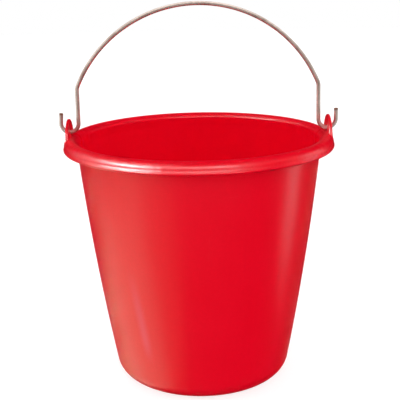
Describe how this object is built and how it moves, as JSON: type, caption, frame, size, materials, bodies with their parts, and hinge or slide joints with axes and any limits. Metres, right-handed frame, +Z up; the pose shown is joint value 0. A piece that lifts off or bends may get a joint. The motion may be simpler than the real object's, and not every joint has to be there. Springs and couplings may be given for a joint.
{
  "type": "feed bucket",
  "caption": "Round tapered plastic feed bucket with a rolled rim, two ears and a bent wire bail that swings down to rest on the rim.",
  "frame": {"origin": "middle of the footprint, on the ground plane that the base ring stands on", "axes": "+Z up along the bucket's axis, +X and -X through the two ears, so the bail swings about X and stands in the XZ plane at rest"},
  "size_m": [0.3192, 0.31, 0.4373],
  "materials": {
    "red_plastic": "semi-gloss moulded polyethylene, through-coloured red",
    "galvanised_wire": "dull galvanised steel wire"
  },
  "bodies": {
    "bucket": {"bucket": "red_plastic"},
    "bail": {"bail": "galvanised_wire"}
  },
  "joints": [
    {"name": "bail_swing", "type": "hinge", "parent": "bucket", "child": "bail", "pos_m": [0, 0, 0.2925], "axis": [1, 0, 0], "range_deg": [-91, 91]}
  ]
}
